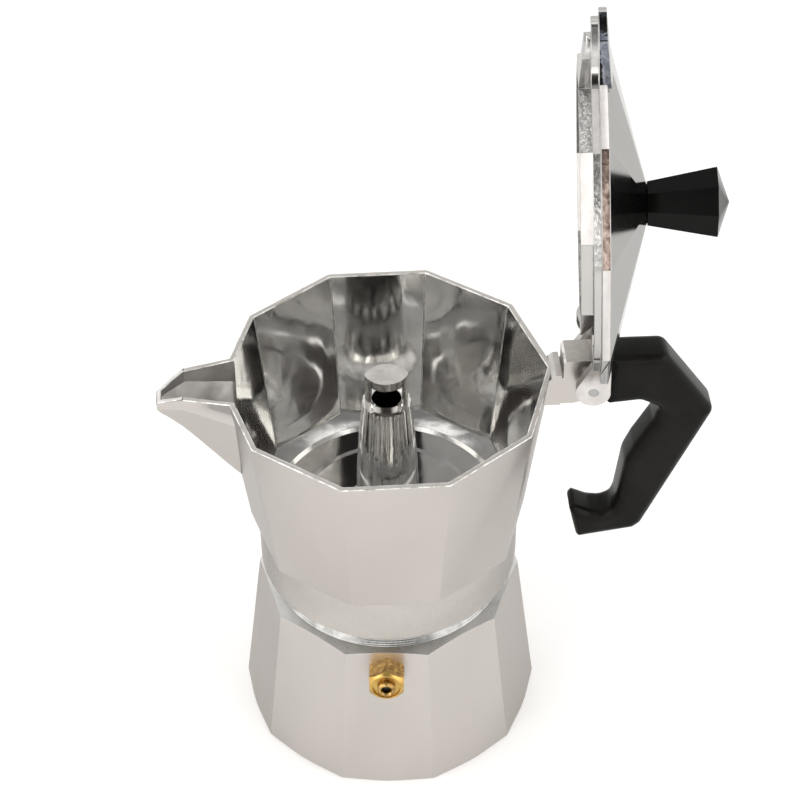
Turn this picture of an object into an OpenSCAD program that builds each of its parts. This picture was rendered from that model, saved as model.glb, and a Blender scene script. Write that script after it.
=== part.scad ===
// Stovetop moka pot for three cups, standing with its lid open.
// Origin: on the axis at the underside of the boiler. +Z up, +X towards the handle,
// -X towards the spout. Millimetres.

/* [Boiler] */
// Radius of the boiler over its corners at the base
boiler_base_r = 45; // [44:0.5:46]
// Radius of the boiler over its corners at the top of its flat faces
boiler_top_r = 38.8; // [38.4:0.1:39.2]
// Height of the flat faces' corners
boiler_face_h = 51.2; // [50:0.2:52]
// Turn of the boiler about the axis against the collector, once it is screwed tight
boiler_turn = -4.25; // [-8:0.25:8]
// Height of the safety valve
valve_h = 44.2; // [43.6:0.2:45.6]

/* [Collector] */
// Radius of the collector over its corners at the rim
rim_r = 46.5; // [46:0.1:47]
// Height of the rim
rim_h = 127.4; // [126:0.2:128.6]
// Thickness of the collector's wall
wall_t = 1.5; // [1.2:0.1:1.8]
// Radius of the round skirt that screws onto the boiler
skirt_r = 37.9; // [37.9:0.1:38.4]
// Height of the skirt's lower edge
skirt_h = 59.5; // [59:0.1:60]
// Height of the top of the coffee column
column_h = 127.4; // [124:0.2:128]

/* [Thread] */
// Rise of the screw thread in one turn
pitch = 4; // [3.6:0.1:4]
// Radius of the boiler's threaded neck
neck_r = 33.8; // [33.6:0.1:33.9]

/* [Lid] */
// Radius of the lid over its corners
lid_r = 47; // [46.6:0.1:47.4]
// Height of the lid's peak above the rim of the lid
lid_rise = 10.3; // [10:0.1:11]
// Angle that the lid stands open
lid_open = 87; // [86:0.1:90]
// Distance of the hinge axis from the pot's axis
hinge_x = 57; // [56.8:0.1:57.2]
// Height of the hinge axis
hinge_z = 125.7; // [125.5:0.1:125.9]

/* [Handle] */
// Width of the handle
handle_w = 11; // [10:0.5:12]

/* [Hidden] */
$fn = 96;

sides = 10;
side_angle = 360 / sides;
// Ratio of a polygon's flat radius to its corner radius
flat_ratio = cos(180 / sides);
eps = 0.01;

// Boiler
boiler_taper = (boiler_base_r - boiler_top_r) / boiler_face_h;
neck_top = 66.6;
neck_bore_r = 31;
shoulder_slope = 0.355;
// Round foot that the flat faces swell to
foot_r = 43.9;
foot_swell_h = 20;
foot_edge = 0.5;
boiler_floor = 3.2;

// Valve, seated square on the face of the boiler that looks towards -Y
valve_az = 270 + boiler_turn;
valve_tilt = atan(boiler_taper * flat_ratio);
valve_face_r = (boiler_base_r - boiler_taper * valve_h) * flat_ratio;
valve_flats = 10;
valve_hex_r = valve_flats / 2 / cos(30);
valve_stub_r = 4;
valve_bore_r = 2.6;

// Thread: crests of the boiler's ridge and of the skirt's ridge
ridge_out_r = 35.05;
ridge_in_r = 34.4;
skirt_bore_r = 35.4;
ridge_root_w = 1.7;
ridge_crest_w = 0.9;
ridge_step = 12;

// Seal stack between boiler and collector
flange_t = 0.8;
gasket_z = neck_top + flange_t + 0.05;
gasket_t = 2.8;
plate_z = gasket_z + gasket_t;
plate_t = 0.5;

// Collector
facet_foot_r = 40.1;
facet_foot_h = 75;
facet_slope = (rim_r - facet_foot_r) / (rim_h - facet_foot_h);
floor_corner_r = 39.7;
floor_corner_h = 77.4;
pan_h = 73.5;
rim_in_r = rim_r - wall_t / flat_ratio;
spout_tip_x = -63.8;

// Hinge
// The pin sits a little askew in its lug, as the loose hinge of such a pot does
hinge_dir = [0.049, 1, -0.059];
hinge_point = [hinge_x, 0, hinge_z];
pin_r = 1.4;
pin_play = 0.06;
ear_r = 4.8;
ear_out = 10.2;
ear_in = 7.3;
barrel_r = 3.3;
barrel_half = 6.5;

// Lid, in its closed place
lid_z = rim_h + 0.15;
lid_band = 2.1;
lid_top = lid_z + lid_band + lid_rise;
// Offset of the lid's middle from the pot's axis
lid_shift = -0.8;
// Plug ring under the lid; it sits nearer to the spout than to the hinge
plug_r = 36.4;
plug_shift = -3.1;
plug_depth = 5;
// Depth of the plug where it reaches into the spout, and at its far corner
plug_tip_depth = 3.6;
step_r = 43.5;
step_depth = 1.9;
lid_wall = 2;
knob_foot_r = 6.2;
knob_head_r = 9.8;
knob_len = 17.9;
knob_tip = 3.3;
knob_turn = 29.5;

alu = "#c9c5bf";
brass = "#c79a3f";
black = "#1c1b1a";
steel = "#b8b8b8";

// ---------- shared shapes ----------

// A decagon's prism or taper with a corner on +X
module decagon(r1, r2, z1, z2) {
    translate([0, 0, z1]) cylinder(r1 = r1, r2 = r2, h = z2 - z1, $fn = sides);
}

// A turned solid from its half outline
module turned(outline) {
    rotate_extrude() polygon(outline);
}

function on_circle(r, a, z) = [r * cos(a), r * sin(a), z];

// Four-sided helical ridge, its centre starting at height z0
module helix_ridge(root_r, crest_r, z0, turns) {
    n = ceil(turns * 360 / ridge_step);
    wr = ridge_root_w / 2;
    wc = ridge_crest_w / 2;
    points = [for (i = [0:n])
        let (a = i * ridge_step, z = z0 + pitch * a / 360)
        each [on_circle(root_r, a, z - wr), on_circle(crest_r, a, z - wc),
            on_circle(crest_r, a, z + wc), on_circle(root_r, a, z + wr)]];
    sides_q = [for (i = [0:n - 1]) for (k = [0:3])
        let (a = 4 * i + k, b = 4 * i + (k + 1) % 4)
        [a, b, b + 4, a + 4]];
    way = crest_r > root_r ? 1 : -1;
    flip = function (f) way > 0 ? f : [for (k = [len(f) - 1:-1:0]) f[k]];
    faces = concat([flip([3, 2, 1, 0])], [for (f = sides_q) flip(f)],
        [flip([4 * n, 4 * n + 1, 4 * n + 2, 4 * n + 3])]);
    polyhedron(points, faces, convexity = 6);
}

// Places its children on the valve's axis: local +Z points out of the boiler
module at_valve() {
    rotate([0, 0, valve_az])
        translate([valve_face_r, 0, valve_h])
            rotate([0, 90 - valve_tilt, 0]) children();
}

// Swings its children from the closed lid's place to the open one
module opened() {
    translate(hinge_point)
        rotate(a = lid_open, v = hinge_dir)
            translate(-hinge_point) children();
}

// A cylinder on the hinge axis, centred on the XZ plane
module on_hinge(r, length) {
    translate(hinge_point)
        rotate(a = acos(hinge_dir.z / norm(hinge_dir)), v = [-hinge_dir.y, hinge_dir.x, 0])
            cylinder(r = r, h = length, center = true);
}

// An outline in the XZ plane, extruded evenly to both sides of it
module slab_xz(outline, width) {
    rotate([90, 0, 0]) linear_extrude(width, center = true) polygon(outline);
}

// ---------- boiler ----------

// Lowest part of the boiler, from its faces down to its round foot
module boiler_foot() {
    base_r = boiler_base_r;
    hull() {
        rotate([0, 0, boiler_turn]) {
            decagon(base_r, base_r - boiler_taper * foot_swell_h, foot_edge, foot_swell_h);
            decagon(base_r - foot_edge, base_r - foot_edge, 0, eps);
        }
        translate([0, 0, foot_edge]) cylinder(r = foot_r, h = eps);
        cylinder(r = foot_r - foot_edge, h = eps);
    }
}

module boiler() {
    facets_r = boiler_base_r - boiler_taper * 56;
    middle_r = boiler_base_r - boiler_taper * foot_swell_h;
    shoulder_r = boiler_top_r + 0.05;
    throat_z = boiler_face_h + (shoulder_r - neck_r - 1.3) * shoulder_slope;
    color(alu) difference() {
        union() {
            intersection() {
                rotate([0, 0, boiler_turn]) decagon(middle_r, facets_r, foot_swell_h - eps, 56);
                turned([[0, foot_swell_h - 1], [boiler_base_r, foot_swell_h - 1],
                    [boiler_base_r, boiler_face_h - 4],
                    [shoulder_r, boiler_face_h], [neck_r + 1.3, throat_z],
                    [neck_r, throat_z + 1.6], [neck_r, 55.5], [0, 55.5]]);
            }
            boiler_foot();
            translate([0, 0, 50]) cylinder(r = neck_r, h = neck_top - 50);
            helix_ridge(neck_r - 0.9, ridge_out_r, 60, 1.35);
        }
        // Cooking space, turned, with a rounded lower corner
        turned([[0, boiler_floor], [37.4, boiler_floor], [39, boiler_floor + 1.2],
            [39.3, boiler_floor + 3], [34.2, boiler_face_h - 1], [neck_bore_r, 54.5],
            [neck_bore_r, neck_top + 1], [0, neck_top + 1]]);
        // Lead-in chamfer round the mouth
        turned([[neck_bore_r - 1, neck_top + 1], [neck_bore_r - 1, neck_top - 1.5],
            [neck_bore_r, neck_top - 0.5], [neck_bore_r + 0.5, neck_top + eps],
            [neck_bore_r + 0.5, neck_top + 1]]);
        at_valve() translate([0, 0, -8]) cylinder(r = valve_stub_r, h = 16);
        // Shallow turned groove in the underside
        translate([0, 0, -1]) difference() {
            cylinder(r = 33, h = 1.5);
            translate([0, 0, -1]) cylinder(r = 31.6, h = 4);
        }
    }
}

// ---------- safety valve ----------

// Hexagonal body with a threaded stub through the boiler's wall
module valve_body() {
    color(brass) at_valve() difference() {
        union() {
            translate([0, 0, -6.5]) cylinder(r = valve_stub_r - 0.02, h = 6.6);
            intersection() {
                cylinder(r = valve_hex_r, h = 6.3, $fn = 6);
                turned([[0, 0], [5.6, 0], [5.9, 0.4], [5.9, 2.9], [5.45, 3.1], [5.45, 3.35],
                    [5.9, 3.55], [5.9, 4.9], [4.5, 6.3], [0, 6.3]]);
            }
        }
        // Spring chamber, seat and inlet
        translate([0, 0, -4.5]) cylinder(r = valve_bore_r, h = 20);
        translate([0, 0, -8]) cylinder(r = 1.3, h = 10);
        // Dished front round the retainer
        translate([0, 0, 5.7]) cylinder(r = 4.1, h = 2);
    }
}

// Plug with a rounded nose that closes the spring chamber
module valve_retainer() {
    color(brass) at_valve() difference() {
        union() {
            translate([0, 0, 3.6]) cylinder(r = valve_bore_r, h = 3.5);
            translate([0, 0, 7.1]) cylinder(r1 = valve_bore_r, r2 = 2.1, h = 0.7);
        }
        translate([0, 0, 3]) cylinder(r = 1.35, h = 6);
        translate([0, 0, 7.3]) cylinder(r1 = 1.35, r2 = 1.75, h = 0.51);
    }
}

// Piston that lifts off its seat at too high a pressure
module valve_piston() {
    color(steel) at_valve() {
        translate([0, 0, -4.4]) cylinder(r = 2.2, h = 1.2);
        translate([0, 0, -3.3]) cylinder(r = 0.95, h = 9.6);
    }
}

// Compression spring round the piston's stem
module valve_spring() {
    turns = 5;
    per_turn = 12;
    wire_r = 0.28;
    coil_r = 1.75;
    z1 = -3.1 + wire_r;
    z2 = 3.5 - wire_r;
    n = turns * per_turn;
    ring = 5;
    points = [for (i = [0:n]) for (k = [0:ring - 1])
        let (a = i * 360 / per_turn, b = k * 360 / ring, r = coil_r + wire_r * cos(b))
        on_circle(r, a, z1 + (z2 - z1) * i / n + wire_r * sin(b))];
    tube = [for (i = [0:n - 1]) for (k = [0:ring - 1])
        let (a = ring * i + k, b = ring * i + (k + 1) % ring)
        [a, a + ring, b + ring, b]];
    ends = [[for (k = [0:ring - 1]) k], [for (k = [ring - 1:-1:0]) ring * n + k]];
    color(steel) at_valve() polyhedron(points, concat(tube, ends), convexity = 8);
}

// ---------- funnel ----------

// Coffee basket with the flange that rests on the boiler's mouth
module funnel_cup() {
    color(alu) turned([[25.3, 44.6], [4.05, 39], [4.05, 34], [4.7, 34], [4.7, 38.3],
        [26, 43.9], [26, neck_top], [32.8, neck_top], [32.8, neck_top + flange_t],
        [25.3, neck_top + flange_t]]);
}

// Stem that reaches down into the water, cut at a slant at its foot
module funnel_tube() {
    color(alu) difference() {
        translate([0, 0, 6]) cylinder(r = 4.05, h = 34.5);
        translate([0, 0, 5]) cylinder(r = 3.2, h = 40);
        translate([0, 0, 6]) rotate([0, 20, 0]) translate([0, 0, -6]) cube([30, 30, 12], center = true);
    }
}

// Rings of small holes, closer to the rim in each further ring
module hole_rings(rings, spacing, hole_r, height) {
    for (ring = [1:rings], i = [0:6 * ring - 1])
        rotate([0, 0, i * 60 / ring]) translate([ring * spacing, 0, -1])
            cylinder(r = hole_r, h = height + 2, $fn = 16);
}

// Perforated disc at the bottom of the basket
module funnel_plate() {
    color(alu) translate([0, 0, 44.7]) difference() {
        cylinder(r = 25.1, h = 0.6);
        hole_rings(3, 6.6, 0.8, 0.6);
        translate([0, 0, -1]) cylinder(r = 0.8, h = 3, $fn = 16);
    }
}

// ---------- seal ----------

module gasket() {
    color("#e8e4da") turned([[25.5, gasket_z], [33, gasket_z], [33, gasket_z + gasket_t],
        [25.5, gasket_z + gasket_t]]);
}

// Fine filter above the gasket, pressed up into a shallow dome at its middle
module filter_plate() {
    color(alu) translate([0, 0, plate_z]) difference() {
        cylinder(r = 29.5, h = plate_t);
        hole_rings(3, 6.8, 0.6, plate_t);
    }
}

// ---------- collector ----------

// Outside of the pouring spout, from its keel up to its rim
module spout_body(inset) {
    root = 9.9 - inset;
    lip = 6.5 - inset;
    tip = 2.6 - inset * 0.6;
    keel = inset * 1.5;
    difference() {
        hull() {
            translate([-42, 0, rim_h - 4]) cube([0.1, 2 * root, 8.1], center = true);
            translate([-42, 0, 88.6 + 2 * keel]) cube([0.1, 0.2, 0.2], center = true);
            translate([-56, 0, rim_h - 2]) cube([0.1, 2 * lip, 4.1], center = true);
            translate([spout_tip_x + inset, 0, 121.6 + keel / 2]) cube([0.1, 2 * tip, 2.4], center = true);
        }
        // The keel is hollowed along its length, and most of all near the tip
        slab_xz([[-41, 80], [-41, 90.8 + keel], [-44.4, 95.5 + keel], [-53.8, 109.4 + keel],
            [-57.2, 114 + keel], [-60.7, 117.4 + keel], [-66, 121.3 + keel], [-70, 80]], 30);
    }
}

// Lug that carries the hinge barrel and the tang for the handle
module lug() {
    difference() {
        union() {
            slab_xz([[41, 117.4], [52, 117.4], [60.6, 120], [60.6, 130.6], [58.5, 132.6], [56, 133],
                [49.4, 133], [48.8, 132.4], [48.8, 127], [41, 127]], 9);
            slab_xz([[42, 117.4], [48.3, 117.4], [48.3, 128.4], [46.7, 128.4], [42, 124]], 10);
            on_hinge(barrel_r, 2 * barrel_half);
            translate([58, -2.8, 121]) cube([15, 5.6, 8]);
        }
        on_hinge(pin_r, 40);
        translate([67, 0, 110]) cylinder(r = 1.65, h = 30);
    }
}

module collector() {
    foot_r = facet_foot_r - facet_slope * (facet_foot_h - 60);
    color(alu) difference() {
        union() {
            intersection() {
                decagon(foot_r, rim_r, 60, rim_h);
                turned([[0, 60], [skirt_r - 0.1, 60], [skirt_r - 0.1, 74.2],
                    [facet_foot_r + 0.2, facet_foot_h], [60, facet_foot_h], [60, rim_h], [0, rim_h]]);
            }
            translate([0, 0, skirt_h]) cylinder(r = skirt_r, h = 74.9 - skirt_h);
            spout_body(0);
            lug();
        }
        // Inside of the jug, down to the turned floor
        difference() {
            union() {
                decagon(floor_corner_r, rim_in_r + 0.12, floor_corner_h, rim_h + 1);
                spout_body(1.3);
                // The spout's rim falls away towards its tip
                slab_xz([[-80, 140], [-40, 140], [-40, rim_h], [-56.5, rim_h - 0.2],
                    [-60.5, 125.2], [-64.5, 122.2], [-80, 122.2]], 40);
            }
            translate([0, 0, 60]) cylinder(r = 60, h = floor_corner_h - 60);
        }
        turned([[0, pan_h], [25.4, pan_h], [26.4, 74], [33.2, 74.3], [34.2, 75.4], [37.6, 76.8],
            [37.6, floor_corner_h + eps], [0, floor_corner_h + eps]]);
        intersection() {
            decagon(floor_corner_r, floor_corner_r, 75, floor_corner_h + eps);
            turned([[0, 75.3], [34.2, 75.3], [40, floor_corner_h + eps], [0, floor_corner_h + eps]]);
        }
        // Threaded skirt, gasket seat and the dish above the filter plate
        turned([[0, skirt_h - 1], [skirt_bore_r + 0.8, skirt_h - 1], [skirt_bore_r, skirt_h + 0.8],
            [skirt_bore_r, 67.2], [33.3, 67.8], [33.3, plate_z], [29.8, plate_z],
            [29.8, plate_z + plate_t], [27, plate_z + plate_t + 0.3], [6.5, 71.9], [0, 71.9]]);
        translate([0, 0, 70]) cylinder(r = 6.5, h = 5);
    }
    color(alu) intersection() {
        helix_ridge(skirt_bore_r + 0.7, ridge_in_r, 60.4 + pitch / 2, 1.1);
        translate([0, 0, 60]) cylinder(r = skirt_bore_r + 1, h = 7.2);
    }
}

// Column that the coffee rises through, with two windows under its cap
module coffee_column() {
    flutes = 18;
    color(alu) difference() {
        union() {
            turned([[0, 72], [6.48, 72], [6.48, pan_h + 0.02], [13.4, pan_h + 0.02], [12.6, 75], [10.8, 77],
                [9.6, 80], [9, 84], [8.7, 94], [7.9, 106], [6.85, 117.4], [0, 117.4]]);
            intersection() {
                translate([0, 0, 117]) cylinder(r1 = 6.85, r2 = 6.2, h = column_h - 117);
                translate([0, 2.2, 116]) cylinder(r = 6.5, h = 20);
                translate([0, -2.2, 116]) cylinder(r = 6.5, h = 20);
            }
        }
        turned([[0, 71], [5.6, 71], [4.6, 80], [4.2, 118], [4.2, 124.2], [0, 124.8]]);
        translate([0, 0, 121.6]) cube([8.6, 30, 6.2], center = true);
        for (i = [0:flutes - 1]) rotate([0, 0, (i + 0.5) * 360 / flutes])
            translate([7.3, 0, 117.8]) rotate([0, -5.6 + 180, 0]) cylinder(r = 0.75, h = 26, $fn = 24);
    }
}

// ---------- hinge and handle ----------

module hinge_pin() {
    color(steel) on_hinge(pin_r, 2 * ear_out);
}

// Side outline of the handle, its corners rounded by the offsets
module handle_outline() {
    $fn = 20;
    offset(1.6) offset(-1.6) offset(-1.2) offset(1.2) polygon([[61.4, 116], [71.5, 116.9],
        [77.4, 113.6], [75.3, 108.2], [70.4, 98.4], [68.2, 92.6], [66.6, 76.6], [65.6, 73.2],
        [62.8, 71.9], [59.2, 72.5], [54.4, 75.2], [53.2, 73.6], [55.8, 62], [72.6, 64.8],
        [74.8, 67], [92.5, 111.2], [92.3, 113.2], [77.6, 133.6], [75.2, 134.6], [62, 134.2]]);
}

module handle() {
    edge = 2.4;
    color(black) difference() {
        rotate([90, 0, 0]) union() {
            linear_extrude(handle_w - 2 * edge, center = true) handle_outline();
            linear_extrude(handle_w - edge, center = true) offset(delta = -edge * 0.3) handle_outline();
            linear_extrude(handle_w, center = true) offset(delta = -edge) handle_outline();
        }
        translate([60, -2.85, 120.9]) cube([13.1, 5.7, 8.2]);
        translate([67, 0, 110]) cylinder(r = 2, h = 12);
        translate([67, 0, 110]) cylinder(r = 3.4, h = 9);
    }
}

// Screw that holds the handle on the tang from below
module handle_screw() {
    color(steel) difference() {
        union() {
            translate([67, 0, 117]) cylinder(r = 3.2, h = 2);
            translate([67, 0, 118]) cylinder(r = 1.65, h = 10);
        }
        slot(67, 0, 116.5, 1);
    }
}

// Driver slot across a screw's head
module slot(x, y, z, depth) {
    translate([x - 5, y - 0.4, z]) cube([10, 0.8, depth + 0.5]);
}

// ---------- lid ----------

// Hinge ear on the side that y_sign gives: a disc round the pin, joined to the lid
module ear(y_sign) {
    y = y_sign * (ear_out + ear_in) / 2;
    width = ear_out - ear_in;
    centre = hinge_point + hinge_dir * y;
    height = 3.6;
    hull() {
        translate(centre) rotate([90, 0, 0]) cylinder(r = ear_r, h = width, center = true, $fn = 64);
        translate([hinge_x - 12.2, y - width / 2, lid_z]) cube([5.5, width, height]);
    }
    translate([hinge_x - 16, y - width / 2, lid_z]) cube([5, width, height]);
}

// Low roof over the spout, its ridge running out to a rounded tip
module spout_cover() {
    root_z = lid_z + lid_band + (lid_r - 41) / (lid_r - knob_foot_r) * lid_rise;
    hull() {
        translate([-42.5, 0, lid_z + 1.6]) cube([1, 19.6, 3.2], center = true);
        translate([-54.5, 0, lid_z + 1.1]) cube([1, 13, 2.2], center = true);
        translate([-57.2, 0, lid_z]) cylinder(r = 2.4, h = 2, $fn = 24);
        translate([-41, 0, root_z - 0.3]) cube([1, 1, 0.6], center = true);
    }
}

// Outline of what reaches into the spout
module spout_outline(reach, root_w, tip_w) {
    polygon([[-36, -root_w / 2], [-47, -root_w / 2 + (root_w - tip_w) / 6], [-reach, -tip_w / 2],
        [-reach, tip_w / 2], [-47, root_w / 2 - (root_w - tip_w) / 6], [-36, root_w / 2]]);
}

// Part of the plug that reaches into the spout, as deep as depth
module spout_plug(depth, reach, root_w, tip_w) {
    translate([0, 0, lid_z - depth]) linear_extrude(depth + 0.2) spout_outline(reach, root_w, tip_w);
}

// Half space below the plug, which grows shallower from its middle towards the spout
module plug_slope() {
    corner = plug_r - plug_shift;
    slab_xz([[-corner, 115], [-corner, lid_z - plug_depth], [-51, lid_z - plug_tip_depth],
        [-65, lid_z - plug_tip_depth], [-65, 115]], 40);
}

// Ring groove between the plug and the step, which keeps the casting's wall even
module lid_groove() {
    difference() {
        decagon(step_r - lid_wall, step_r - lid_wall - 6, lid_z - step_depth - 1, lid_z + 2.4);
        translate([plug_shift, 0, 0]) decagon(plug_r, plug_r, lid_z - 10, lid_z + 10);
        translate([-60, -10, lid_z - 10]) cube([30, 20, 20]);
        translate([30, -16, lid_z - 10]) cube([30, 32, 20]);
    }
}

// Rim, pyramid and roof over the spout
module lid_top_side() {
    decagon(lid_r, lid_r, lid_z, lid_z + lid_band);
    decagon(lid_r, knob_foot_r, lid_z + lid_band, lid_top);
    spout_cover();
}

// Step, plug and the part that reaches into the spout
module lid_underside() {
    decagon(step_r, step_r, lid_z - step_depth, lid_z + 0.2);
    spout_plug(step_depth, 56, 16, 4.8);
    difference() {
        union() {
            translate([plug_shift, 0, 0]) decagon(plug_r, plug_r, lid_z - plug_depth, lid_z + 0.2);
            spout_plug(plug_depth, 51.6, 6.4, 4.4);
        }
        plug_slope();
    }
    lid_stop();
}

// Rounded lump cast under the lid beside the hinge
module lid_stop() {
    for (y = [-1.2, 1.2]) translate([38.6, y, lid_z - 1.7]) sphere(r = 4.1, $fn = 40);
    translate([38.6, 0, lid_z - 1.7]) rotate([90, 0, 0]) cylinder(r = 4.1, h = 2.4, center = true, $fn = 40);
}

module lid_closed() {
    hollow_r = plug_r - lid_wall;
    difference() {
        union() {
            translate([lid_shift, 0, 0]) lid_top_side();
            translate([lid_shift, 0, 0]) lid_underside();
            ear(-1);
            ear(1);
        }
        translate([lid_shift, 0, 0]) {
            translate([plug_shift, 0, 0]) decagon(hollow_r, hollow_r, lid_z - 7, lid_z + 0.5);
            decagon(hollow_r + plug_shift, 6, lid_z + 0.49, lid_top - lid_wall - 0.2);
            lid_groove();
            translate([0, 0, 130]) cylinder(r = 2.1, h = 30);
        }
        // Notch in the rim for the hinge lug
        translate([44.6, -5.5, lid_z - 3]) cube([4, 11, 7]);
        on_hinge(pin_r + pin_play, 40);
    }
}

module lid() {
    color(alu) opened() lid_closed();
}

// Places its children on the lid's own axis, swung open with the lid
module on_lid() {
    opened() translate([lid_shift, 0, 0]) children();
}

// Eight-sided knob that flares to a low point
module knob() {
    foot = lid_top + 0.25;
    color(black) on_lid() difference() {
        rotate([0, 0, knob_turn]) union() {
            translate([0, 0, foot]) cylinder(r1 = knob_foot_r, r2 = knob_head_r, h = knob_len, $fn = 8);
            translate([0, 0, foot + knob_len]) cylinder(r1 = knob_head_r, r2 = 0.2, h = knob_tip, $fn = 8);
            translate([0, 0, lid_top]) cylinder(r = knob_foot_r - 0.7, h = 0.3, $fn = 8);
        }
        translate([0, 0, lid_top - 1]) cylinder(r = 3.2, h = 10);
    }
}

// Threaded brass insert moulded into the knob
module knob_insert() {
    color(brass) on_lid() difference() {
        translate([0, 0, lid_top + 0.02]) cylinder(r = 3.2, h = 8.98);
        translate([0, 0, lid_top - 1]) cylinder(r = 1.95, h = 9);
    }
}

module knob_screw() {
    color(steel) on_lid() difference() {
        union() {
            translate([0, 0, lid_top - 4.6]) cylinder(r = 3.6, h = 1.6);
            translate([0, 0, lid_top - 3.5]) cylinder(r = 1.95, h = 10.5);
        }
        slot(0, 0, lid_top - 5.1, 0.9);
    }
}

module knob_washer() {
    color(steel) on_lid() difference() {
        translate([0, 0, lid_top - 3]) cylinder(r = 4.6, h = 0.75);
        translate([0, 0, lid_top - 4]) cylinder(r = 2, h = 3);
    }
}

boiler();
valve_body();
valve_piston();
valve_spring();
valve_retainer();
funnel_cup();
funnel_tube();
funnel_plate();
gasket();
filter_plate();
collector();
coffee_column();
hinge_pin();
handle();
handle_screw();
lid();
knob();
knob_insert();
knob_screw();
knob_washer();
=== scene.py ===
"""Looks of a three-cup stovetop moka pot that stands with its lid open."""
import math

import bmesh
import bpy
import numpy as np
from mathutils import Matrix, Vector
from mathutils.geometry import delaunay_2d_cdt


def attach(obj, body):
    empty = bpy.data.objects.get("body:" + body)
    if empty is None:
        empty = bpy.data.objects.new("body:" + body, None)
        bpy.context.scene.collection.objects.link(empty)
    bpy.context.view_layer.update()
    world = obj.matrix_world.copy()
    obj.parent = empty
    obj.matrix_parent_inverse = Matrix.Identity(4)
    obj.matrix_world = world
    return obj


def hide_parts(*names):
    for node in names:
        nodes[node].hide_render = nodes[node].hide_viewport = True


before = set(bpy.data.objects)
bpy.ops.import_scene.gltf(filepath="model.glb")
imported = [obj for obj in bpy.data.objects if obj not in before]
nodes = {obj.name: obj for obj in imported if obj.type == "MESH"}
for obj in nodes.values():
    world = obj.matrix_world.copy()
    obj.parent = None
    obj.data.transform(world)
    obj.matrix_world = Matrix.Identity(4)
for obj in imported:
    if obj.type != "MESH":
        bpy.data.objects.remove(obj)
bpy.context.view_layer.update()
MM = 0.001

# Camera: degrees and millimetres
VIEW_AZIMUTH, VIEW_ELEVATION, VIEW_ROLL = -3.27, 43.41, -0.41
VIEW_PLACE = (-21.0, -433.5, 528.1)
VIEW_LENS, VIEW_SENSOR = 96.0, 36.0

# Unlit part of the room, as azimuth and elevation in degrees
DARK_SIDE = (-93.0, 50.0)

# Pot: millimetres and degrees, as in the part's own source
RIM_H = 127.4
FACE_TOP_H = 51.2
NECK_R = 33.8
HINGE_POINT = Vector((57.0, 0.0, 125.7))
HINGE_AXIS = Vector((0.049, 1.0, -0.059)).normalized()
LID_OPEN = math.radians(87)
LID_Z = RIM_H + 0.15
LID_BAND = 2.1
SHUT = Matrix.Rotation(-LID_OPEN, 3, HINGE_AXIS)
SPOUT_FROM_X = -45.0
SPOUT_WALLS_X = -41.5
SPOUT_WALLS_H = 95.0
EAR_FROM_X = 46.0
SKIRT_R = 37.9
SKIRT_TOP_H = 75.2
BOWL_H = 73.0
BOWL_R = 46.0
NECK_TOP_H = 54.0
BOILER_WALL_R = 39.5
COLLAR_H, COLLAR_R = 78.0, 10.0
COLUMN_CAP_H = 121.5
HANDLE_HALF_W = 5.5
HANDLE_ROUND = 2.9

# Edge finishing: metres and radians
LUG_FROM_X = 45 * MM
SPOUT_LIP_H = 121 * MM
LONG_EDGE = 2.4 * MM
WELD_GAP, WIDE_WELD_GAP = 0.002 * MM, 0.03 * MM
FLAT_WITHIN = math.radians(0.3)
ROUNDED_FROM = math.radians(22)
SHARP_FROM = math.radians(5.2)

# Bump relief: metres
SLOW_RELIEF, FINE_RELIEF, RING_RELIEF, PLASTIC_RELIEF = 0.0008, 0.00008, 0.00003, 0.00004


# ---------- camera, floor and light ----------

def look_from(place, azimuth, elevation, roll):
    """Camera matrix at place, looking back along the given azimuth and elevation."""
    az, el, ro = (math.radians(a) for a in (azimuth, elevation, roll))
    back = Vector((math.sin(az) * math.cos(el), -math.cos(az) * math.cos(el), math.sin(el)))
    right = Vector((math.cos(az), math.sin(az), 0))
    up = back.cross(right)
    cam_right = math.cos(ro) * right + math.sin(ro) * up
    matrix = Matrix((cam_right, back.cross(cam_right), back)).transposed().to_4x4()
    matrix.translation = Vector(place) * MM
    return matrix


def add_camera():
    data = bpy.data.cameras.new("view")
    data.lens = VIEW_LENS
    data.sensor_width = VIEW_SENSOR
    data.clip_start = 0.01
    data.clip_end = 20
    camera = bpy.data.objects.new("view", data)
    bpy.context.collection.objects.link(camera)
    camera.matrix_world = look_from(VIEW_PLACE, VIEW_AZIMUTH, VIEW_ELEVATION, VIEW_ROLL)
    bpy.context.scene.camera = camera


def unit_direction(azimuth, elevation):
    az, el = math.radians(azimuth), math.radians(elevation)
    return Vector((math.cos(az) * math.cos(el), math.sin(az) * math.cos(el), math.sin(el)))


def add_softbox(name, azimuth, elevation, distance, width, height, radiance, colour=(1, 1, 1)):
    """Rectangular light that faces the middle of the pot; angles in degrees, sizes in metres."""
    away = unit_direction(azimuth, elevation)
    data = bpy.data.lights.new(name, "AREA")
    data.shape = "RECTANGLE"
    data.size = width
    data.size_y = height
    data.energy = radiance * math.pi * width * height
    data.color = colour
    light = bpy.data.objects.new(name, data)
    bpy.context.collection.objects.link(light)
    light.location = away * distance + Vector((0, 0, 0.09))
    light.rotation_euler = (-away).to_track_quat("-Z", "Y").to_euler()


def add_studio():
    add_softbox("softbox_left", 207, 27, 1.4, 1.5, 0.8, 2.55, (1, 0.985, 0.96))
    add_softbox("softbox_right", -27, 28, 1.4, 1.4, 0.8, 2.4, (1, 0.985, 0.96))
    add_softbox("softbox_top", 88, 74, 1.5, 1.1, 0.34, 2.3, (1, 0.99, 0.98))
    add_softbox("softbox_front", -100, 22, 1.6, 1.3, 0.34, 1.9, (1, 0.985, 0.97))


def new_material(name):
    material = bpy.data.materials.new(name)
    material.use_nodes = True
    tree = material.node_tree
    return material, tree, tree.nodes["Principled BSDF"]


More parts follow.
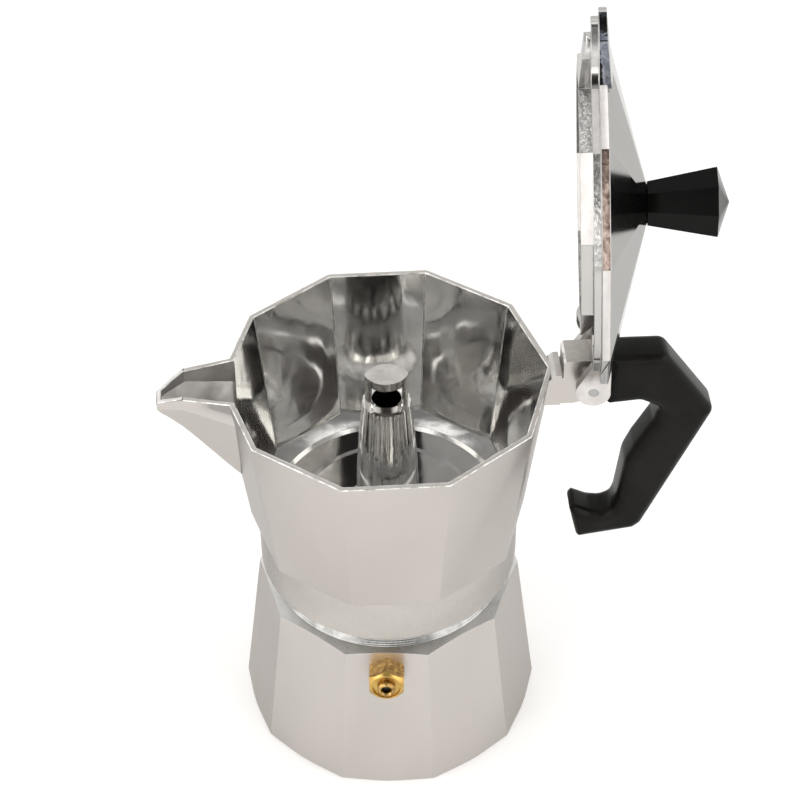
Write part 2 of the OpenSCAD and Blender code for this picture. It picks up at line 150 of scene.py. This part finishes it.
def add_floor():
    half_m = 4.0
    mesh = bpy.data.meshes.new("floor")
    corners = [(-half_m, -half_m, 0), (half_m, -half_m, 0), (half_m, half_m, 0), (-half_m, half_m, 0)]
    mesh.from_pydata(corners, [], [(0, 1, 2, 3)])
    floor = bpy.data.objects.new("floor", mesh)
    bpy.context.collection.objects.link(floor)
    material, _, shader = new_material("pale_floor")
    shader.inputs["Base Color"].default_value = (0.95, 0.95, 0.95, 1)
    shader.inputs["Roughness"].default_value = 0.95
    shader.inputs["Specular IOR Level"].default_value = 0.05
    mesh.materials.append(material)


def add_world():
    world = bpy.data.worlds.new("studio")
    bpy.context.scene.world = world
    world.use_nodes = True
    tree = world.node_tree
    coord = tree.nodes.new("ShaderNodeTexCoord")
    split = tree.nodes.new("ShaderNodeSeparateXYZ")
    tree.links.new(coord.outputs["Generated"], split.inputs[0])
    sky = ramp(tree, split.outputs["Z"], [(0.0, (1.0, 0.99, 0.97)), (0.2, (0.8, 0.79, 0.775)),
                                          (0.5, (0.52, 0.515, 0.505)), (0.72, (0.48, 0.475, 0.47)),
                                          (0.86, (0.34, 0.34, 0.34)), (1.0, (0.26, 0.26, 0.265))])
    toward = tree.nodes.new("ShaderNodeVectorMath")
    toward.operation = "DOT_PRODUCT"
    toward.inputs[1].default_value = unit_direction(*DARK_SIDE)
    tree.links.new(coord.outputs["Generated"], toward.inputs[0])
    shade = ramp(tree, toward.outputs["Value"], [(0.90, (1, 1, 1)), (0.955, (0.10, 0.085, 0.08)),
                                                 (1.0, (0.03, 0.03, 0.03))])
    mix = tree.nodes.new("ShaderNodeMix")
    mix.data_type = "RGBA"
    mix.blend_type = "MULTIPLY"
    mix.inputs["Factor"].default_value = 1.0
    tree.links.new(sky, mix.inputs["A"])
    tree.links.new(shade, mix.inputs["B"])
    tree.links.new(mix.outputs["Result"], tree.nodes["Background"].inputs["Color"])
    tree.nodes["Background"].inputs["Strength"].default_value = 2.02


# ---------- material building blocks ----------

def noise(tree, scale, detail=4.0, rough=0.6, stretch=(1, 1, 1), warp=0.0):
    """Object-space noise; scale is in features per metre, divided by stretch along each axis."""
    coord = tree.nodes.new("ShaderNodeTexCoord")
    mapping = tree.nodes.new("ShaderNodeMapping")
    mapping.inputs["Scale"].default_value = stretch
    texture = tree.nodes.new("ShaderNodeTexNoise")
    texture.inputs["Scale"].default_value = scale
    texture.inputs["Detail"].default_value = detail
    texture.inputs["Roughness"].default_value = rough
    texture.inputs["Distortion"].default_value = warp
    tree.links.new(coord.outputs["Object"], mapping.inputs["Vector"])
    tree.links.new(mapping.outputs["Vector"], texture.inputs["Vector"])
    return texture.outputs["Fac"]


def lathe_rings(tree, pitch_mm):
    """Fine turned grooves round the pot's axis, one every pitch_mm."""
    coord = tree.nodes.new("ShaderNodeTexCoord")
    mapping = tree.nodes.new("ShaderNodeMapping")
    mapping.inputs["Scale"].default_value = (1, 1, 0)
    length = tree.nodes.new("ShaderNodeVectorMath")
    length.operation = "LENGTH"
    turns = tree.nodes.new("ShaderNodeMath")
    turns.operation = "MULTIPLY"
    turns.inputs[1].default_value = 2 * math.pi / (pitch_mm * MM)
    wave = tree.nodes.new("ShaderNodeMath")
    wave.operation = "SINE"
    tree.links.new(coord.outputs["Object"], mapping.inputs["Vector"])
    tree.links.new(mapping.outputs["Vector"], length.inputs[0])
    tree.links.new(length.outputs["Value"], turns.inputs[0])
    tree.links.new(turns.outputs[0], wave.inputs[0])
    return wave.outputs[0]


def ramp(tree, source, stops):
    node = tree.nodes.new("ShaderNodeValToRGB")
    elements = node.color_ramp.elements
    while len(elements) < len(stops):
        elements.new(0.5)
    for element, (position, colour) in zip(elements, stops):
        element.position = position
        element.color = (*colour, 1)
    tree.links.new(source, node.inputs["Fac"])
    return node.outputs["Color"]


def remap(tree, source, low, high, from_low=0.3, from_high=0.7):
    node = tree.nodes.new("ShaderNodeMapRange")
    node.inputs["From Min"].default_value = from_low
    node.inputs["From Max"].default_value = from_high
    node.inputs["To Min"].default_value = low
    node.inputs["To Max"].default_value = high
    tree.links.new(source, node.inputs["Value"])
    return node.outputs["Result"]


def bumps(tree, shader, layers):
    """Chains bump nodes; each layer is (height source, strength, distance in metres)."""
    normal = None
    for height, strength, distance in layers:
        node = tree.nodes.new("ShaderNodeBump")
        node.inputs["Strength"].default_value = strength
        node.inputs["Distance"].default_value = distance
        tree.links.new(height, node.inputs["Height"])
        if normal is not None:
            tree.links.new(normal, node.inputs["Normal"])
        normal = node.outputs["Normal"]
    tree.links.new(normal, shader.inputs["Normal"])


def metal(name, dark, light, roughness, grain=(1500, 0.2), wave=(60, 0.1), stretch=(1, 1, 1),
          wave_stretch=(1, 1, 1), rings=None, edge_tint=1.0):
    """Metal with slow colour mottling, fine grain in its roughness and relief, and optional lathe rings.

    grain and wave are (features per metre, bump strength); rings is (pitch in mm, bump strength).
    edge_tint dims the reflection at a glancing angle.
    """
    material, tree, shader = new_material(name)
    shader.inputs["Metallic"].default_value = 1.0
    shader.inputs["Specular Tint"].default_value = (edge_tint, edge_tint, edge_tint, 1)
    fine = noise(tree, grain[0], 3.0, 0.7, stretch)
    slow = noise(tree, wave[0], 2.0, 0.5, wave_stretch, 0.4)
    tree.links.new(ramp(tree, slow, [(0.3, dark), (0.7, light)]), shader.inputs["Base Color"])
    tree.links.new(remap(tree, fine, *roughness), shader.inputs["Roughness"])
    layers = [(slow, wave[1], SLOW_RELIEF), (fine, grain[1], FINE_RELIEF)]
    if rings:
        layers.append((lathe_rings(tree, rings[0]), rings[1], RING_RELIEF))
    bumps(tree, shader, layers)
    return material


def plastic(name, dark, light, roughness, grain_bump, gloss=0.5):
    material, tree, shader = new_material(name)
    slow = noise(tree, 90, 3.0, 0.6)
    fine = noise(tree, 1800, 2.0, 0.6)
    tree.links.new(ramp(tree, slow, [(0.35, dark), (0.65, light)]), shader.inputs["Base Color"])
    tree.links.new(remap(tree, fine, *roughness), shader.inputs["Roughness"])
    shader.inputs["Specular IOR Level"].default_value = gloss
    bumps(tree, shader, [(fine, grain_bump, PLASTIC_RELIEF)])
    return material


# ---------- materials ----------

LOOKS = {
    "cast_outside": metal("cast_outside", (0.485, 0.455, 0.43), (0.53, 0.50, 0.475), (0.28, 0.36),
                          grain=(2600, 0.05), wave=(26, 0.05), stretch=(1, 1, 0.25),
                          wave_stretch=(1, 1, 0.5), edge_tint=0.66),
    "boiler_outside": metal("boiler_outside", (0.49, 0.463, 0.44), (0.54, 0.51, 0.486), (0.33, 0.42),
                            grain=(2600, 0.05), wave=(26, 0.05), stretch=(1, 1, 0.25),
                            wave_stretch=(1, 1, 0.5), edge_tint=0.66),
    # painted shade: a much darker copy of the turned shoulder's metal, for the fillet that curves down
    # from it
    "turned_fillet_painted_shade": metal("turned_fillet_painted_shade", (0.15, 0.15, 0.148), (0.29, 0.29, 0.285), (0.2, 0.3),
                           grain=(2400, 0.02), wave=(240, 0.04), rings=(0.42, 0.34)),
    "skirt": metal("skirt", (0.455, 0.43, 0.405), (0.505, 0.48, 0.45), (0.2, 0.3),
                   grain=(2400, 0.01), wave=(60, 0.03), edge_tint=0.6),
    "polished_inside": metal("polished_inside", (0.86, 0.855, 0.84), (0.93, 0.925, 0.91), (0.05, 0.11),
                             grain=(1400, 0.01), wave=(60, 0.34), wave_stretch=(1, 1, 0.55)),
    "bowl_floor": metal("bowl_floor", (0.29, 0.285, 0.277), (0.38, 0.375, 0.362), (0.08, 0.16),
                        grain=(1400, 0.01), wave=(80, 0.22)),
    "spout_inside": metal("spout_inside", (0.48, 0.467, 0.455), (0.68, 0.665, 0.65), (0.34, 0.44),
                          grain=(1800, 0.1), wave=(130, 0.4)),
    "machined_rim": metal("machined_rim", (0.45, 0.428, 0.40), (0.53, 0.507, 0.475), (0.26, 0.38),
                          grain=(2200, 0.12), wave=(300, 0.06)),
    "turned_shoulder": metal("turned_shoulder", (0.58, 0.575, 0.56), (0.68, 0.675, 0.66), (0.26, 0.36),
                             grain=(2400, 0.02), wave=(240, 0.04), rings=(0.42, 0.24)),
    "polished": metal("polished", (0.66, 0.65, 0.63), (0.76, 0.75, 0.73), (0.06, 0.12),
                      grain=(1400, 0.02), wave=(80, 0.10)),
    "lid_outside": metal("lid_outside", (0.465, 0.457, 0.44), (0.515, 0.503, 0.485), (0.09, 0.16),
                         grain=(1800, 0.05), wave=(40, 0.03), edge_tint=0.6),
    # painted reflection: a near-white, rough copy of the lid metal for a few lid facets
    "lid_bright_painted_reflection": metal("lid_bright_painted_reflection", (0.80, 0.765, 0.745), (0.88, 0.85, 0.83), (0.42, 0.55),
                        grain=(1800, 0.15), wave=(300, 0.08)),
    # painted reflection: a paler, rougher copy of the lid metal for the ear's side and one rim facet
    "lid_pale_painted_reflection": metal("lid_pale_painted_reflection", (0.56, 0.54, 0.522), (0.64, 0.617, 0.60), (0.42, 0.55),
                     grain=(1800, 0.15), wave=(300, 0.08)),
    # painted reflection: a brown, mottled copy of the lid metal for one rim facet
    "lid_brown_painted_reflection": metal("lid_brown_painted_reflection", (0.11, 0.075, 0.06), (0.44, 0.35, 0.31), (0.32, 0.48),
                         grain=(1500, 0.3), wave=(620, 0.4), wave_stretch=(1, 1, 0.6)),
    # painted reflection: a mottled grey colour with strong relief for a few plug facets
    "mottled_painted_reflection": metal("mottled_painted_reflection", (0.25, 0.25, 0.245), (0.60, 0.59, 0.57), (0.25, 0.45),
                        grain=(1600, 0.4), wave=(1300, 0.3), wave_stretch=(1, 1, 0.35)),
    "lug_top": metal("lug_top", (0.34, 0.335, 0.325), (0.62, 0.61, 0.595), (0.14, 0.26),
                     grain=(1600, 0.1), wave=(460, 0.55)),
    "cast_cap": metal("cast_cap", (0.48, 0.462, 0.438), (0.58, 0.562, 0.537), (0.16, 0.26),
                      grain=(900, 0.03), wave=(260, 0.3)),
    # painted highlight: a mottled, nearly white metal for the rounded rim and inner-corner edges
    "edge_painted_highlight": metal("edge_painted_highlight", (0.34, 0.33, 0.31), (0.98, 0.97, 0.96), (0.3, 0.5),
                       grain=(1800, 0.2), wave=(420, 0.4)),
    "lid_edge": metal("lid_edge", (0.30, 0.30, 0.295), (0.46, 0.455, 0.45), (0.3, 0.42),
                      grain=(1500, 0.1), wave=(300, 0.15)),
    # painted shade: a dark grey copy of the lid metal for one plug facet
    "lid_grey_painted_shade": metal("lid_grey_painted_shade", (0.20, 0.195, 0.185), (0.30, 0.29, 0.28), (0.25, 0.35),
                      grain=(1500, 0.1), wave=(200, 0.15)),
    "weld_collar": metal("weld_collar", (0.55, 0.54, 0.53), (0.95, 0.94, 0.93), (0.42, 0.58),
                         grain=(900, 0.4), wave=(420, 0.9)),
    # painted reflection: a near-black copy of the lid metal for the upper spout cover faces
    "lid_dark_painted_reflection": metal("lid_dark_painted_reflection", (0.05, 0.055, 0.07), (0.13, 0.135, 0.15), (0.12, 0.2),
                      grain=(1500, 0.05), wave=(300, 0.4)),
    "sheet_metal": metal("sheet_metal", (0.66, 0.66, 0.66), (0.74, 0.74, 0.74), (0.25, 0.35)),
    "valve_brass": metal("valve_brass", (0.20, 0.11, 0.035), (0.52, 0.34, 0.12), (0.24, 0.42),
                         grain=(2500, 0.3), wave=(700, 0.5)),
    "valve_front": metal("valve_front", (0.44, 0.28, 0.075), (0.60, 0.39, 0.12), (0.3, 0.42),
                         grain=(2500, 0.12), wave=(500, 0.1)),
    "steel": metal("steel", (0.52, 0.52, 0.52), (0.64, 0.64, 0.63), (0.22, 0.34)),
    "pin_steel": metal("pin_steel", (0.30, 0.30, 0.30), (0.40, 0.40, 0.395), (0.3, 0.4)),
    "dark_steel": metal("dark_steel", (0.03, 0.03, 0.03), (0.06, 0.06, 0.06), (0.4, 0.5)),
    "handle_black": plastic("handle_black", (0.004, 0.0038, 0.0034), (0.0075, 0.0072, 0.0066),
                            (0.28, 0.34), 0.06, gloss=0.085),
    "knob_black": plastic("knob_black", (0.0012, 0.0012, 0.0011), (0.0025, 0.0024, 0.0022),
                          (0.08, 0.15), 0.05, gloss=0.09),
    "seal_rubber": plastic("seal_rubber", (0.68, 0.66, 0.61), (0.76, 0.74, 0.69), (0.5, 0.65), 0.15),
}

NODE_LOOK = {
    "boiler": "boiler_outside", "valve_body": "valve_brass", "valve_piston": "dark_steel",
    "valve_spring": "steel", "valve_retainer": "valve_brass", "funnel_cup": "sheet_metal",
    "funnel_tube": "sheet_metal", "funnel_plate": "sheet_metal", "gasket": "seal_rubber",
    "filter_plate": "sheet_metal", "collector": "cast_outside", "coffee_column": "polished",
    "hinge_pin": "pin_steel", "handle": "handle_black", "handle_screw": "steel", "lid": "lid_outside",
    "knob": "knob_black", "knob_insert": "valve_brass", "knob_screw": "steel", "knob_washer": "steel",
}


def dress_nodes():
    for node_name, look in NODE_LOOK.items():
        for slot in nodes[node_name].material_slots:
            slot.material = LOOKS[look]


# ---------- pieces from the CAD's own shapes, with their edges finished ----------


def finish_edges(mesh, radius_of, look_of, looks, merge_flats):
    """Welds a copied mesh, picks each face's material and each edge's rounding.

    merge_flats joins the triangles of each flat face. Without it the weld is a little wider.
    """
    work = bmesh.new()
    work.from_mesh(mesh)
    gap = WELD_GAP if merge_flats else WIDE_WELD_GAP
    bmesh.ops.remove_doubles(work, verts=work.verts, dist=gap)
    if merge_flats:
        bmesh.ops.dissolve_limit(work, angle_limit=FLAT_WITHIN, verts=work.verts, edges=work.edges)
    work.normal_update()
    mesh.materials.clear()
    for look in looks:
        mesh.materials.append(LOOKS[look])
    for face in work.faces:
        face.material_index = looks.index(look_of(face.calc_center_median() / MM, face.normal))
        face.smooth = True
    weight = work.edges.layers.float.new("bevel_weight_edge")
    for edge in work.edges:
        angle = edge.calc_face_angle(0) if len(edge.link_faces) == 2 else 0
        if angle > ROUNDED_FROM and edge.calc_length() > LONG_EDGE:
            edge[weight] = radius_of(edge)
        edge.smooth = angle < SHARP_FROM or edge[weight] > 0
    work.to_mesh(mesh)
    work.free()


def finished(node_name, body, look_of, looks, radius, radius_of=None, merge_flats=True, edge_look=None):
    """A piece that stands for a CAD node, with edges rounded by up to radius mm.

    edge_look is the one of looks that the rounded edges take, when it isn't that of the faces.
    """
    mesh = nodes[node_name].data.copy()
    finish_edges(mesh, radius_of or (lambda edge: 1.0), look_of, looks, merge_flats)
    piece = bpy.data.objects.new(node_name + "_piece", mesh)
    bpy.context.collection.objects.link(piece)
    if radius:
        bevel = piece.modifiers.new("edges", "BEVEL")
        bevel.width = radius * MM
        bevel.segments = 3
        bevel.limit_method = "WEIGHT"
        bevel.use_clamp_overlap = False
        if edge_look:
            bevel.material = looks.index(edge_look)
    normals = piece.modifiers.new("normals", "WEIGHTED_NORMAL")
    normals.keep_sharp = True
    normals.weight = 60
    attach(piece, body)
    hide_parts(node_name)
    return piece


def upright(edge):
    along = (edge.verts[0].co - edge.verts[1].co).normalized()
    return abs(along.z) > 0.6


def collector_look(centre, normal):
    r = math.hypot(centre.x, centre.y)
    outward = (normal.x * centre.x + normal.y * centre.y) / max(r, 0.01)
    in_spout = centre.x < SPOUT_WALLS_X and centre.z > SPOUT_WALLS_H
    if normal.z > 0.9 and centre.z > RIM_H - 0.3:
        return "machined_rim"
    if in_spout and (normal.z > 0.1 or normal.y * centre.y < 0) and normal.z > -0.3:
        return "spout_inside"
    in_bowl = centre.z > BOWL_H and r < BOWL_R
    if in_bowl and normal.z > 0.6:
        return "bowl_floor"
    if in_bowl and outward < -0.3:
        return "polished_inside"
    if centre.z < BOWL_H and outward < -0.2:
        return "machined_rim"
    if centre.z < SKIRT_TOP_H and (normal.z < -0.3 or r < SKIRT_R + 0.1):
        return "skirt"
    if centre.x > EAR_FROM_X and normal.z > 0.4:
        return "lug_top"
    return "cast_outside"


def column_look(centre, normal):
    r = math.hypot(centre.x, centre.y)
    if centre.z < COLLAR_H and r > COLLAR_R:
        return "weld_collar"
    if centre.z > COLUMN_CAP_H:
        return "cast_cap"
    return "polished"


def boiler_look(centre, normal):
    r = math.hypot(centre.x, centre.y)
    if centre.z > FACE_TOP_H - 3 and r > NECK_R - 0.5 and normal.z > 0.3:
        # the fillet takes a painted-shade copy of the shoulder's metal
        return "turned_shoulder" if normal.z > 0.9 else "turned_fillet_painted_shade"
    if centre.z > NECK_TOP_H or (r < BOILER_WALL_R and normal.x * centre.x + normal.y * centre.y < 0):
        return "machined_rim"
    return "boiler_outside"


def valve_look(centre, normal):
    return "valve_front" if normal.y < -0.5 else "valve_brass"


def to_closed(point_mm):
    """Where a point of the open lid lies when the lid is shut."""
    return SHUT @ (point_mm - HINGE_POINT) + HINGE_POINT


def lid_look(centre, normal):
    """Lid faces that take painted reflection and painted shade: bright, pale, brown, dark, grey and
    mottled copies of the lid metal, the mottled ones with rough relief.
    """
    place = to_closed(centre)
    facing = SHUT @ normal
    side = math.degrees(math.atan2(facing.y, facing.x)) % 360
    if abs(facing.z) > 0.3:
        return "lid_outside"
    if place.x > EAR_FROM_X:
        # painted reflection: the ear's side that faces one way is paler than its other faces
        return "lid_pale_painted_reflection" if 265 < side < 275 else "lid_outside"
    if place.x < SPOUT_FROM_X and 190 < side < 345:
        # painted dark reflection on the upper spout cover faces
        return "lid_dark_painted_reflection" if place.z > LID_Z and side > 205 else "lid_edge"
    on_plug = place.z < LID_Z - 1.95
    on_rim = LID_Z < place.z < LID_Z + LID_BAND
    # painted reflection on these plug and rim facets: bright, mottled and brown copies of the lid metal
    if 196 < side < 200:
        return "mottled_painted_reflection" if on_plug else "lid_bright_painted_reflection"
    if 232 < side < 236:
        # painted reflection: a brown mottle on this rim facet
        return "lid_bright_painted_reflection" if on_plug else "lid_brown_painted_reflection" if on_rim else "mottled_painted_reflection"
    # painted shade on the grey plug facet and painted reflection on the pale rim facet
    if 268 < side < 272 and (on_rim or on_plug):
        return "lid_pale_painted_reflection" if on_rim else "lid_grey_painted_shade"
    return "lid_outside"


# ---------- handle ----------

def rounded_outline(corners, steps=6):
    """Points of a polygon whose corners (x, z, radius in mm) are arcs."""
    points = []
    count = len(corners)
    for i, (x, z, radius) in enumerate(corners):
        here = Vector((x, z))
        before = (Vector(corners[i - 1][:2]) - here)
        after = (Vector(corners[(i + 1) % count][:2]) - here)
        half = before.angle(after) / 2
        reach = min(radius / math.tan(half), 0.48 * before.length, 0.48 * after.length)
        start = here + before.normalized() * reach
        end = here + after.normalized() * reach
        for k in range(steps + 1):
            t = k / steps
            points.append(start * (1 - t) ** 2 + here * 2 * t * (1 - t) + end * t ** 2)
    return points


HANDLE_CORNERS = [
    (61.4, 116, 1.2), (71.0, 116.9, 3), (76.6, 113.8, 2.2), (75.3, 108.2, 6), (70.4, 98.4, 10),
    (68.2, 92.6, 12), (66.6, 76.6, 10), (65.6, 73.2, 3), (62.8, 71.9, 3), (59.2, 72.5, 4),
    (54.3, 75.1, 1.1), (53.2, 73.6, 0.8), (55.8, 62.1, 1.2), (72.6, 64.9, 3), (74.8, 67, 3),
    (92.3, 111.9, 3.2), (77.2, 133.9, 3.5), (61.6, 134.1, 1.2),
]


def edge_distance(points, outline):
    """Distance from each point to the nearest side of the outline."""
    a = outline
    b = np.roll(outline, -1, axis=0)
    side = b - a
    rel = points[:, None, :] - a[None]
    t = np.clip((rel * side).sum(-1) / (side ** 2).sum(-1), 0, 1)
    return np.linalg.norm(rel - t[..., None] * side, axis=-1).min(axis=1)


def inside(points, outline):
    a = outline
    b = np.roll(outline, -1, axis=0)
    x, z = points[:, 0:1], points[:, 1:2]
    crossing = (a[:, 1] > z) != (b[:, 1] > z)
    span = np.where(b[:, 1] == a[:, 1], 1e-9, b[:, 1] - a[:, 1])
    at_x = (b[:, 0] - a[:, 0]) * (z - a[:, 1]) / span + a[:, 0]
    return (crossing & (x < at_x)).sum(axis=1) % 2 == 1


def handle_mesh():
    """Flat-sided moulding whose outline is rolled over on both sides."""
    outline = np.array([tuple(p) for p in rounded_outline(HANDLE_CORNERS)])
    keep = np.linalg.norm(outline - np.roll(outline, 1, axis=0), axis=1) > 0.05
    outline = outline[keep]
    ahead = np.roll(outline, -1, axis=0) - outline
    dense = []
    for point, step in zip(outline, ahead):
        parts = max(1, int(np.linalg.norm(step) / 0.9))
        dense += [point + step * k / parts for k in range(parts)]
    outline = np.array(dense)
    tangent = np.roll(outline, -1, axis=0) - np.roll(outline, 1, axis=0)
    inward = np.stack([-tangent[:, 1], tangent[:, 0]], axis=1)
    inward /= np.linalg.norm(inward, axis=1, keepdims=True)
    area = 0.5 * (outline[:, 0] * np.roll(outline[:, 1], -1)
                  - outline[:, 1] * np.roll(outline[:, 0], -1)).sum()
    if area < 0:
        inward = -inward
    layers = []
    for share in (0.03, 0.1, 0.22, 0.4, 0.62, 0.85, 1.0, 1.25):
        depth = HANDLE_ROUND * share
        ring = outline + inward * depth
        good = (edge_distance(ring, outline) > depth * 0.985) & inside(ring, outline)
        layers.append(ring[good])
    low, high = outline.min(axis=0), outline.max(axis=0)
    grid = np.stack(np.meshgrid(np.arange(low[0], high[0], 1.6), np.arange(low[1], high[1], 1.6)), -1)
    grid = grid.reshape(-1, 2)
    grid = grid[inside(grid, outline)]
    layers.append(grid[edge_distance(grid, outline) > HANDLE_ROUND * 1.5])
    flat = np.concatenate([outline] + layers)
    count = len(outline)
    border = list(range(count)) if area > 0 else list(range(count))[::-1]
    verts, _, faces, _, _, _ = delaunay_2d_cdt([Vector(p) for p in flat], [], [border], 1, 0.001)
    flat = np.array([tuple(v) for v in verts])
    depth = edge_distance(flat, outline)
    on_border = depth < 0.004
    rolled = np.clip(depth / HANDLE_ROUND, 0, 1)
    height = HANDLE_HALF_W - HANDLE_ROUND + HANDLE_ROUND * np.sqrt(1 - (1 - rolled) ** 2)
    mesh = bpy.data.meshes.new("handle_piece")
    work = bmesh.new()
    front = [work.verts.new((x * MM, -h * MM, z * MM)) for (x, z), h in zip(flat, height)]
    back = [work.verts.new((x * MM, h * MM, z * MM)) for (x, z), h in zip(flat, height)]
    for face in faces:
        work.faces.new([front[i] for i in face])
        work.faces.new([back[i] for i in reversed(face)])
    rims = [e for e in work.edges if e.is_boundary]
    bmesh.ops.bridge_loops(work, edges=rims)
    bmesh.ops.recalc_face_normals(work, faces=work.faces)
    for face in work.faces:
        face.smooth = True
    work.to_mesh(mesh)
    work.free()
    return mesh


def add_handle():
    piece = bpy.data.objects.new("handle_piece", handle_mesh())
    bpy.context.collection.objects.link(piece)
    piece.data.materials.append(LOOKS["handle_black"])
    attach(piece, "jug")
    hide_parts("handle")


# ---------- the whole pot ----------

def plain(look):
    return lambda centre, normal: look


def never(edge):
    return 0.0


COLLECTOR_LOOKS = ["cast_outside", "skirt", "polished_inside", "bowl_floor", "spout_inside",
                   "machined_rim", "lug_top", "edge_painted_highlight"]


def collector_rounding(edge):
    """Rounded rim and inner corners, which take a painted highlight; the outer corners stay crisp."""
    inner = all(COLLECTOR_LOOKS[face.material_index] == "polished_inside" for face in edge.link_faces)
    on_top = not upright(edge) and min(vert.co.z for vert in edge.verts) > SPOUT_LIP_H
    on_lug = edge.verts[0].co.x > LUG_FROM_X
    return 1.0 if inner or on_top and not on_lug else 0.0


def build():
    finished("boiler", "base", boiler_look,
             ["boiler_outside", "turned_shoulder", "turned_fillet_painted_shade", "machined_rim"], 0, never,
             merge_flats=False)
    finished("collector", "jug", collector_look, COLLECTOR_LOOKS, 0.26, collector_rounding,
             edge_look="edge_painted_highlight")
    finished("coffee_column", "jug", column_look, ["polished", "cast_cap", "weld_collar"], 0.2)
    finished("valve_body", "base", valve_look, ["valve_brass", "valve_front"], 0.12)
    finished("lid", "cover", lid_look,
             ["lid_outside", "lid_bright_painted_reflection", "lid_pale_painted_reflection", "lid_brown_painted_reflection", "mottled_painted_reflection", "lid_dark_painted_reflection", "lid_edge",
              "lid_grey_painted_shade"], 0.14, edge_look="lid_edge")
    finished("knob", "cover", plain("knob_black"), ["knob_black"], 0.1)
    add_handle()


add_camera()
add_floor()
add_world()
add_studio()
dress_nodes()
build()
bpy.context.scene.view_settings.view_transform = "Standard"
bpy.context.scene.view_settings.look = "None"
